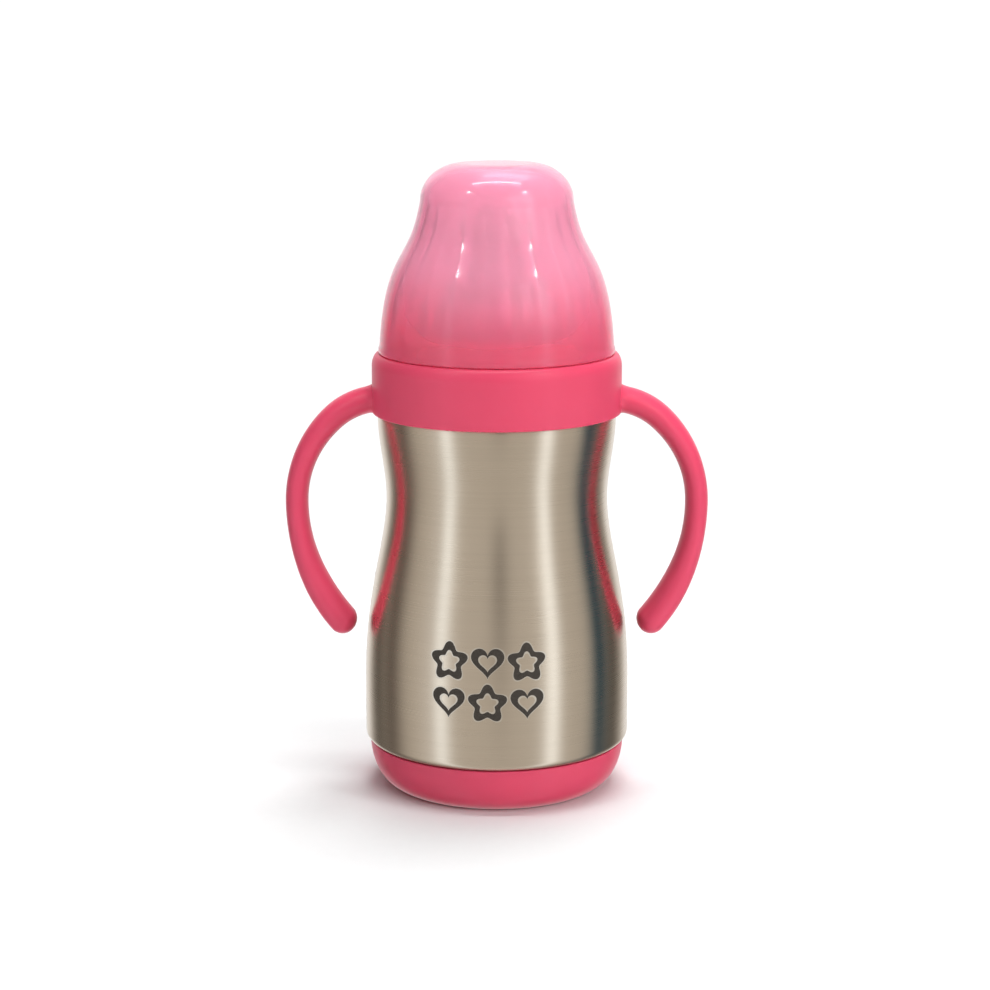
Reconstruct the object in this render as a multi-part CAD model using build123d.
from build123d import *
import os
from math import cos, radians, sin, sqrt

# Insulated baby bottle: a double-walled steel flask with a moulded base cup, a silicone nipple
# clamped by a screw collar with two handles, and a translucent hood over the nipple.
# Millimetres, +Z up, origin at the middle of the underside, handles along X.

# --- Flask: radii grow outwards from the mouth of the bottle -----------------------------------
neck_radius = 26.7  # outside of the steel neck; the bottle's master size
steel_wall = 0.5
neck_fit = 0.1  # radial gap between the liner and the neck round it
waist_gap = 3.0  # from the liner to the outside of the shell where the two are closest
belly_bulge = 5.9  # how far the belly stands out past the waist
body_height = 88.0  # from the top of the base cup to the lower edge of the collar
waist_drop = 21.7  # waist below the collar
belly_height = 26.0  # height above the table up to which the belly is straight
belly_fall = (0.9, 18.5)  # how far in, and how far up, the belly has begun to round off
flank_share = 0.37  # share of the bulge that is left halfway from there to the waist
neck_length = 17.3  # lower edge of the collar to the rim of the mouth
shoulder_rise = 2.0  # top of the steel's shoulder, hidden inside the collar
shoulder_bend = 3.0
neck_bend = 1.2
edge_bend = 2.0  # rolled lower edge of the visible steel
liner_bend = 9.0  # corner between the liner's wall and its floor

# --- Screw thread between neck and collar ------------------------------------------------------
thread_lead = 4.0
thread_depth = 1.2
thread_gap = 0.4  # radial gap between a crest and the wall facing it
thread_root = 2.2  # width of a ridge where it meets its wall
thread_crest = 1.0  # width of a ridge at its top
thread_sink = 0.2  # how deep a ridge's root lies in its wall
thread_slack = 1.8  # the collar's ridge runs this far below the neck's
neck_thread_turns = 1.6
collar_thread_turns = 1.5
neck_thread_rise = 5.3  # first ridge above the lower edge of the collar

# --- Base ---------------------------------------------------------------------------------------
cup_height = 12.2
cup_corner = 7.4  # width of the cup's rounded corner
cup_setback = 1.2  # cup is this much slimmer than the belly
cup_wall = 2.2
cup_recess_radius = 20.0
cup_recess_depth = 0.8
cup_groove = 0.2  # open line between the cup and the steel above it
rib_height = 3.0
rib_wall = 1.2
rib_sink = 0.55  # how deep the ribs' roots lie in the cup's floor
rib_inner_radius = 10.0
rib_outer_radius = 23.0
rib_count = 6
pad_height = 1.0
cup_fit = 0.2  # radial gap between the swaged end of the shell and the cup
plate_flange = 3.0
plate_bend = 1.0
dimple_radius = 5.0
dimple_depth = 1.0
vent_hole_radius = 0.8
seal_radius = 3.0
seal_height = 0.8
seal_fit = 0.05  # radial gap between the solder's stem and its hole
getter_radius = 5.0
getter_height = 2.0
getter_edge = 0.5
getter_offset = 14.0
getter_gap = 2.3  # free space between the getter and the liner's floor
foil_wall = 0.2
foil_gap = 0.1
foil_margin = 12.0  # bare liner below and above the foil

# --- Nipple -------------------------------------------------------------------------------------
flange_height = 1.8
flange_inset = 0.3  # flange is this much slimmer than the neck
nipple_wall = 1.8
dome_radius = 19.8
dome_corner = (7.2, 8.5)  # width and height of the dome's rounded shoulder
dome_straight = 4.6  # straight wall from the rim to the start of the shoulder
tier_radius = 12.2
tier_height = 3.6
teat_radius = 9.4
teat_waist = 7.5
teat_bulb = 7.9
teat_shares = (0.35, 0.7)  # heights of the teat's waist and bulb, as shares of the teat
teat_lean = -0.4  # slope of the teat's wall where it leaves the tier
teat_height = 20.0
feed_hole_radius = 0.5
vent_radius = 2.2
vent_length = 2.5
vent_bore_radius = 0.5

# --- Collar -------------------------------------------------------------------------------------
collar_height = 15.5
neck_clearance = 0.3  # radial gap round the neck above the thread
nipple_clearance = 0.3  # radial gap round the nipple in the collar's top plate
sleeve_wall = 1.5
sleeve_gap = 1.4
skirt_wall = 1.45
sleeve_lift = 3.2  # the threaded sleeve ends this far above the skirt
band_corner = (1.9, 3.4)  # width and height of the band's rounded top edge
band_roof = 0.8  # top of the hollow between sleeve and skirt, below the rounded edge
lead_in = 0.5  # bevel inside the skirt's lower edge
boss_wall = 1.5
boss_edge = 0.8
plate_wall = 1.7

# --- Handles ------------------------------------------------------------------------------------
finger_room = 17.7  # from the widest part of the bottle to the middle of a handle
handle_root_rise = 3.2  # middle of the root above the lower edge of the collar
handle_root_tilt = -6.0
handle_root_bend = 19.0
handle_root_turn = 36.0
handle_tail_bend = 49.7
handle_tail_turn = 43.0
handle_width = 10.5  # along Y
handle_root_depth = 6.9
handle_middle_depth = 6.0
handle_tail_depth = 7.8
handle_tip_round = 2.5
handle_sink = 0.75  # how deep the root lies in the band

# --- Hood ---------------------------------------------------------------------------------------
hood_wall = 1.7
hood_fit = 0.5  # radial gap between the hood's rim and the boss
hood_seat = 0.2  # the rim stays this far above the band
hood_headroom = 8.8  # free space above the nipple
hood_falls = ((1.15, 0.24), (4.3, 0.46), (8.35, 0.62))  # how far in at each share of its height
hood_crown_radius = 19.85
hood_crown_corner = (10.85, 9.7)
hood_leans = (-0.06, -0.2)  # slope of the hood's wall at its rim and below its crown

# --- Sizes that follow ---------------------------------------------------------------------------
liner_outer = neck_radius - steel_wall - neck_fit
waist_radius = liner_outer + waist_gap
belly_radius = waist_radius + belly_bulge
cup_radius = belly_radius - cup_setback

collar_base = cup_height + body_height
waist_height = collar_base - waist_drop
fall_height = belly_height + belly_fall[1]
rim_height = collar_base + neck_length
plate_base = cup_wall + rib_height + pad_height  # underside of the steel base plate
step_height = cup_height + cup_groove
liner_floor = plate_base + steel_wall + getter_height + getter_gap

bore_radius = neck_radius + thread_depth + thread_gap
sleeve_radius = bore_radius + sleeve_wall
skirt_inner = sleeve_radius + sleeve_gap
collar_radius = skirt_inner + skirt_wall
boss_bore = neck_radius + neck_clearance
boss_radius = boss_bore + boss_wall
band_top = collar_base + collar_height
flange_top = rim_height + flange_height
collar_top = flange_top + plate_wall

dome_top = rim_height + dome_straight + dome_corner[1]
tier_top = dome_top + tier_height
nipple_top = tier_top + teat_height
hood_base = band_top + hood_seat
hood_rim_radius = boss_radius + hood_fit + hood_wall
hood_top = nipple_top + hood_headroom + hood_wall


def turned(*edges):
    """The solid of revolution of a closed outline in the XZ plane, round Z."""
    return revolve(make_face(Wire(edges)), Axis.Z)


def at(radius, height):
    """A point of a turned outline."""
    return Vector(radius, 0, height)


def run(*points):
    """Straight edges through points, each given as radius and height."""
    corners = [at(*point) for point in points]
    return [Line(start, end) for start, end in zip(corners, corners[1:])]


def corner_arc(centre, width, height, start, turn):
    """Quarter of an ellipse in the XZ plane, centred at a radius and a height."""
    plane = Plane(origin=at(*centre), x_dir=(1, 0, 0), z_dir=(0, -1, 0))
    return plane.location * EllipticalCenterArc((0, 0), width, height, start, arc_size=turn)


def smooth(*points, tangents):
    """A smooth curve through points, with its direction given at both ends."""
    ends = [at(*tangent) for tangent in tangents]
    return Spline(*[at(*point) for point in points], tangents=ends)


def tube(inner, outer, bottom, top):
    """A plain ring."""
    return turned(*run((inner, bottom), (outer, bottom), (outer, top), (inner, top), (inner, bottom)))


def helical_ridge(wall, direction, base, turns, start_angle):
    """A thread's ridge, winding up a wall of the given radius. Direction is 1 outwards, -1 inwards."""
    path = Helix(pitch=thread_lead, height=thread_lead * turns, radius=wall)
    section = Plane(origin=path @ 0, x_dir=(direction, 0, 0), z_dir=path % 0)
    outline = Polygon(
        (-thread_sink, -thread_root / 2),
        (thread_depth, -thread_crest / 2),
        (thread_depth, thread_crest / 2),
        (-thread_sink, thread_root / 2),
        align=None,
    )
    ridge = sweep(section * outline, path=path, is_frenet=True)
    return Pos(0, 0, base) * Rot(0, 0, start_angle) * ridge


def cup_inner_radius(height):
    """Radius of the base cup's inner face at a height below its top."""
    reach = (cup_height - height) / (cup_height - cup_wall)
    return cup_radius - cup_corner + (cup_corner - cup_wall) * sqrt(1 - reach**2)


swage_radius = cup_inner_radius(plate_base) - cup_fit


def shell_outline(inset):
    """The shell's outer face from its lower end to its rim, or its inner face when inset."""
    belly = belly_radius - inset
    swage = swage_radius - inset
    neck = neck_radius - inset
    shoulder = skirt_inner - inset
    step = step_height + inset
    roll = edge_bend - inset
    bend = shoulder_bend - inset
    throat = neck_bend + inset
    shoulder_top = collar_base + shoulder_rise - inset
    shoulder_start = shoulder_top - bend
    return [
        *run((swage, plate_base), (swage, step), (belly - roll, step)),
        corner_arc((belly - roll, step + roll), roll, roll, 270, 90),
        *run((belly, step + roll), (belly, belly_height)),
        smooth(
            (belly, belly_height),
            (belly - belly_fall[0], fall_height),
            (waist_radius + flank_share * belly_bulge - inset, (fall_height + waist_height) / 2),
            (waist_radius - inset, waist_height),
            (shoulder, shoulder_start),
            tangents=((0, 1), (0, 1)),
        ),
        corner_arc((shoulder - bend, shoulder_start), bend, bend, 0, 90),
        *run((shoulder - bend, shoulder_top), (neck + throat, shoulder_top)),
        corner_arc((neck + throat, shoulder_top + throat), throat, throat, 270, -90),
        *run((neck, shoulder_top + throat), (neck, rim_height - steel_wall)),
    ]


def outer_shell():
    """Hourglass outer wall, swaged in at its foot, with a thread rolled into its neck."""
    outside = shell_outline(0)
    inside = shell_outline(steel_wall)
    foot = run((swage_radius - steel_wall, plate_base), (swage_radius, plate_base))
    lip = run((neck_radius, rim_height - steel_wall), (neck_radius - steel_wall, rim_height - steel_wall))
    wall = turned(*foot, *outside, *lip, *inside)
    ridge = helical_ridge(neck_radius, 1, collar_base + neck_thread_rise, neck_thread_turns, 0)
    return wall + ridge


def inner_liner():
    """Deep-drawn inner cup, with a lip that lies on the shell's rim and is welded to it."""
    floor = liner_floor
    inner = liner_outer - steel_wall
    bend = liner_bend - steel_wall
    return turned(
        *run((0, floor), (liner_outer - liner_bend, floor)),
        corner_arc((liner_outer - liner_bend, floor + liner_bend), liner_bend, liner_bend, 270, 90),
        *run(
            (liner_outer, floor + liner_bend),
            (liner_outer, rim_height - steel_wall),
            (neck_radius, rim_height - steel_wall),
            (neck_radius, rim_height),
            (inner, rim_height),
            (inner, floor + liner_bend),
        ),
        corner_arc((liner_outer - liner_bend, floor + liner_bend), bend, bend, 0, -90),
        *run((liner_outer - liner_bend, floor + steel_wall), (0, floor + steel_wall), (0, floor)),
    )


def base_plate():
    """Pressed disc that closes the shell's foot, with an upturned rim and a dimple round the vent."""
    edge = swage_radius - steel_wall
    under = Polyline(
        at(vent_hole_radius, plate_base + dimple_depth),
        at(dimple_radius, plate_base + dimple_depth),
        at(dimple_radius + dimple_depth, plate_base),
        at(edge, plate_base),
        at(edge, plate_base + plate_flange),
    )
    over = Polyline(
        at(edge - steel_wall, plate_base + plate_flange),
        at(edge - steel_wall, plate_base + steel_wall),
        at(dimple_radius + dimple_depth + steel_wall / 2, plate_base + steel_wall),
        at(dimple_radius + steel_wall / 2, plate_base + dimple_depth + steel_wall),
        at(vent_hole_radius, plate_base + dimple_depth + steel_wall),
    )
    joins = [Line(under @ 1, over @ 0), Line(over @ 1, under @ 0)]
    plate = turned(*under.edges(), joins[0], *over.edges(), joins[1])
    outer_edge = plate.edges().filter_by(GeomType.CIRCLE).group_by(Axis.Z)[0].sort_by(SortBy.RADIUS)[-1]
    return fillet(outer_edge, plate_bend)


def vacuum_seal():
    """Bead of solder in the dimple, closing the hole through which the space was pumped out."""
    top = plate_base + dimple_depth
    stem = vent_hole_radius - seal_fit
    return turned(
        corner_arc((0, top), seal_radius, seal_height, 270, 90),
        *run((seal_radius, top), (stem, top), (stem, top + steel_wall), (0, top + steel_wall)),
        *run((0, top + steel_wall), (0, top - seal_height)),
    )


def getter_capsule():
    """Flat pill on the base plate that soaks up the last gas in the vacuum space."""
    pill = Pos(getter_offset, 0, plate_base + steel_wall) * Cylinder(
        getter_radius, getter_height, align=(Align.CENTER, Align.CENTER, Align.MIN)
    )
    return fillet(pill.edges().group_by(Axis.Z)[-1], getter_edge)


def radiation_foil():
    """Metal foil wrapped round the liner inside the vacuum space."""
    inner = liner_outer + foil_gap
    return tube(inner, inner + foil_wall, liner_floor + foil_margin, collar_base - foil_margin)


def base_cup():
    """Moulded cup glued under the flask, with ribs that carry the base plate."""
    flat = cup_radius - cup_corner
    cup = turned(
        *run((0, 0), (flat, 0)),
        corner_arc((flat, cup_height), cup_corner, cup_height, 270, 90),
        *run((cup_radius, cup_height), (cup_radius - cup_wall, cup_height)),
        corner_arc((flat, cup_height), cup_corner - cup_wall, cup_height - cup_wall, 0, -90),
        *run((flat, cup_wall), (0, cup_wall), (0, 0)),
    )
    cup -= tube(0, cup_recess_radius, 0, cup_recess_depth)
    root, top = cup_wall - rib_sink, cup_wall + rib_height
    for radius in (rib_inner_radius, rib_outer_radius):
        cup += tube(radius - rib_wall / 2, radius + rib_wall / 2, root, top)
    for index in range(rib_count):
        rib = Pos((rib_outer_radius + rib_inner_radius) / 2, 0, (root + top) / 2)
        rib *= Box(rib_outer_radius - rib_inner_radius, rib_wall, top - root)
        cup += Rot(0, 0, 360 / rib_count * index) * rib
    return cup


def adhesive_pad():
    """Foam ring, sticky on both faces, between the cup's ribs and the base plate."""
    inner = rib_inner_radius - rib_wall
    return tube(inner, rib_outer_radius + rib_wall, cup_wall + rib_height, plate_base)


def nipple_core(inset):
    """The nipple's solid shape above the rim, without its flange, thinner all over by inset."""
    shoulder = rim_height + dome_straight
    width, height = dome_corner
    centre = dome_radius - width
    waist_top, bulb_top = [tier_top + share * teat_height - inset for share in teat_shares]
    return turned(
        *run((0, rim_height), (dome_radius - inset, rim_height), (dome_radius - inset, shoulder)),
        corner_arc((centre, shoulder), width - inset, height - inset, 0, 90),
        *run(
            (centre, dome_top - inset),
            (tier_radius - inset, dome_top - inset),
            (tier_radius - inset, tier_top - inset),
            (teat_radius - inset, tier_top - inset),
        ),
        smooth(
            (teat_radius - inset, tier_top - inset),
            (teat_waist - inset, waist_top),
            (teat_bulb - inset, bulb_top),
            (0, nipple_top - inset),
            tangents=((teat_lean, 1), (-1, 0)),
        ),
        *run((0, nipple_top - inset), (0, rim_height)),
    )


def nipple():
    """Silicone nipple: a flange that seals on the rim, a dome, a tier, a teat and an air vent."""
    inner = dome_radius - nipple_wall
    body = tube(inner, neck_radius - flange_inset, rim_height, flange_top)
    body += nipple_core(0) - nipple_core(nipple_wall)
    vent_place = (inner + liner_outer - steel_wall) / 2 + nipple_wall / 2
    reach = liner_outer - steel_wall - nipple_clearance - vent_place
    boss = min(vent_radius, reach)
    body += Pos(0, vent_place, rim_height - vent_length / 2) * Cylinder(boss, vent_length)
    body -= Pos(0, vent_place, rim_height) * Cylinder(vent_bore_radius, 4 * vent_length)
    body -= Pos(0, 0, nipple_top) * Cylinder(feed_hole_radius, 4 * nipple_wall)
    return body


def bend_end(start, heading, radius, turn):
    """Where a bend ends in the XZ plane: it sets off at a heading in degrees and turns downwards."""
    before, after = radians(heading), radians(heading - turn)
    x, z = start
    return (x + radius * (sin(before) - sin(after)), z + radius * (cos(after) - cos(before)))


def bend_arc(start, heading, radius, turn):
    """The bend itself, as an arc through its start, middle and end."""
    middle = bend_end(start, heading, radius, turn / 2)
    end = bend_end(start, heading, radius, turn)
    return ThreePointArc(at(*start), at(*middle), at(*end))


def section_at(place, heading, depth):
    """The handle's oval section, square to its path."""
    along = (cos(radians(heading)), 0, sin(radians(heading)))
    plane = Plane(origin=at(*place), x_dir=(0, 1, 0), z_dir=along)
    return plane * Ellipse(handle_width / 2, depth / 2)


def handle():
    """One handle: three smooth bends from the band outwards and down, rounded off at its tip."""
    root = (collar_radius - handle_sink, collar_base + handle_root_rise)
    apex_x = max(belly_radius, collar_radius) + finger_room
    knee = bend_end(root, handle_root_tilt, handle_root_bend, handle_root_turn)
    knee_heading = handle_root_tilt - handle_root_turn
    middle_bend = (apex_x - knee[0]) / (1 + sin(radians(knee_heading)))
    middle_turn = knee_heading + 90
    apex = bend_end(knee, knee_heading, middle_bend, middle_turn)
    tip = bend_end(apex, -90, handle_tail_bend, handle_tail_turn)
    path = Wire(
        [
            bend_arc(root, handle_root_tilt, handle_root_bend, handle_root_turn),
            bend_arc(knee, knee_heading, middle_bend, middle_turn),
            bend_arc(apex, -90, handle_tail_bend, handle_tail_turn),
        ]
    )
    sections = [
        section_at(root, handle_root_tilt, handle_root_depth),
        section_at(apex, -90, handle_middle_depth),
        section_at(tip, -90 - handle_tail_turn, handle_tail_depth),
    ]
    bar = sweep(sections, path=path, multisection=True)
    end = bar.faces().sort_by(Axis.Z)[0]
    return fillet(end.edges(), handle_tip_round)


def collar_body():
    """Band, threaded sleeve, boss for the hood and top plate, all turned in one outline."""
    groove_top = band_top - band_corner[1] - band_roof
    sleeve_base = collar_base + sleeve_lift
    thread_top = collar_base + neck_thread_rise + thread_lead * neck_thread_turns + thread_root
    return turned(
        *run((skirt_inner + lead_in, collar_base), (collar_radius, collar_base)),
        *run((collar_radius, collar_base), (collar_radius, band_top - band_corner[1])),
        corner_arc((collar_radius - band_corner[0], band_top - band_corner[1]), *band_corner, 0, 90),
        *run(
            (collar_radius - band_corner[0], band_top),
            (boss_radius, band_top),
            (boss_radius, collar_top - boss_edge),
            (boss_radius - boss_edge, collar_top),
            (dome_radius + nipple_clearance, collar_top),
            (dome_radius + nipple_clearance, flange_top),
            (boss_bore, flange_top),
            (boss_bore, thread_top + bore_radius - boss_bore),
            (bore_radius, thread_top),
            (bore_radius, sleeve_base),
            (sleeve_radius, sleeve_base),
            (sleeve_radius, groove_top),
            (skirt_inner, groove_top),
            (skirt_inner, collar_base + 2 * lead_in),
            (skirt_inner + lead_in, collar_base),
        ),
    )


def handle_collar():
    """The screw collar with its two handles, moulded as one piece."""
    ridge_base = collar_base + neck_thread_rise - thread_slack + thread_lead / 2
    collar = collar_body() + helical_ridge(bore_radius, -1, ridge_base, collar_thread_turns, 180)
    right = handle()
    return collar + right + mirror(right, Plane.YZ)


def hood_outline(inset):
    """The hood's outer face from its rim to its top, or its inner face when inset."""
    rise = hood_top - hood_base
    rim = hood_rim_radius - inset
    crown = hood_crown_radius - inset
    width, height = hood_crown_corner
    crown_start = hood_top - height
    return [
        smooth(
            (rim, hood_base),
            *[(hood_rim_radius - fall - inset, hood_base + share * rise) for fall, share in hood_falls],
            (crown, crown_start),
            tangents=[(lean, 1) for lean in hood_leans],
        ),
        corner_arc((hood_crown_radius - width, crown_start), width - inset, height - inset, 0, 90),
        *run((hood_crown_radius - width, hood_top - inset), (0, hood_top - inset)),
    ]


def hood():
    """Thin translucent cap that covers the nipple and seats on the collar's boss."""
    rim = run((hood_rim_radius - hood_wall, hood_base), (hood_rim_radius, hood_base))
    top = run((0, hood_top - hood_wall), (0, hood_top))
    return turned(*rim, *hood_outline(0), *top, *hood_outline(hood_wall))


pieces = {
    "outer_shell": outer_shell,
    "inner_liner": inner_liner,
    "base_plate": base_plate,
    "vacuum_seal": vacuum_seal,
    "getter_capsule": getter_capsule,
    "radiation_foil": radiation_foil,
    "base_cup": base_cup,
    "adhesive_pad": adhesive_pad,
    "nipple": nipple,
    "handle_collar": handle_collar,
    "hood": hood,
}

os.makedirs("parts", exist_ok=True)
for name, make in pieces.items():
    export_step(make(), f"parts/{name}.step")
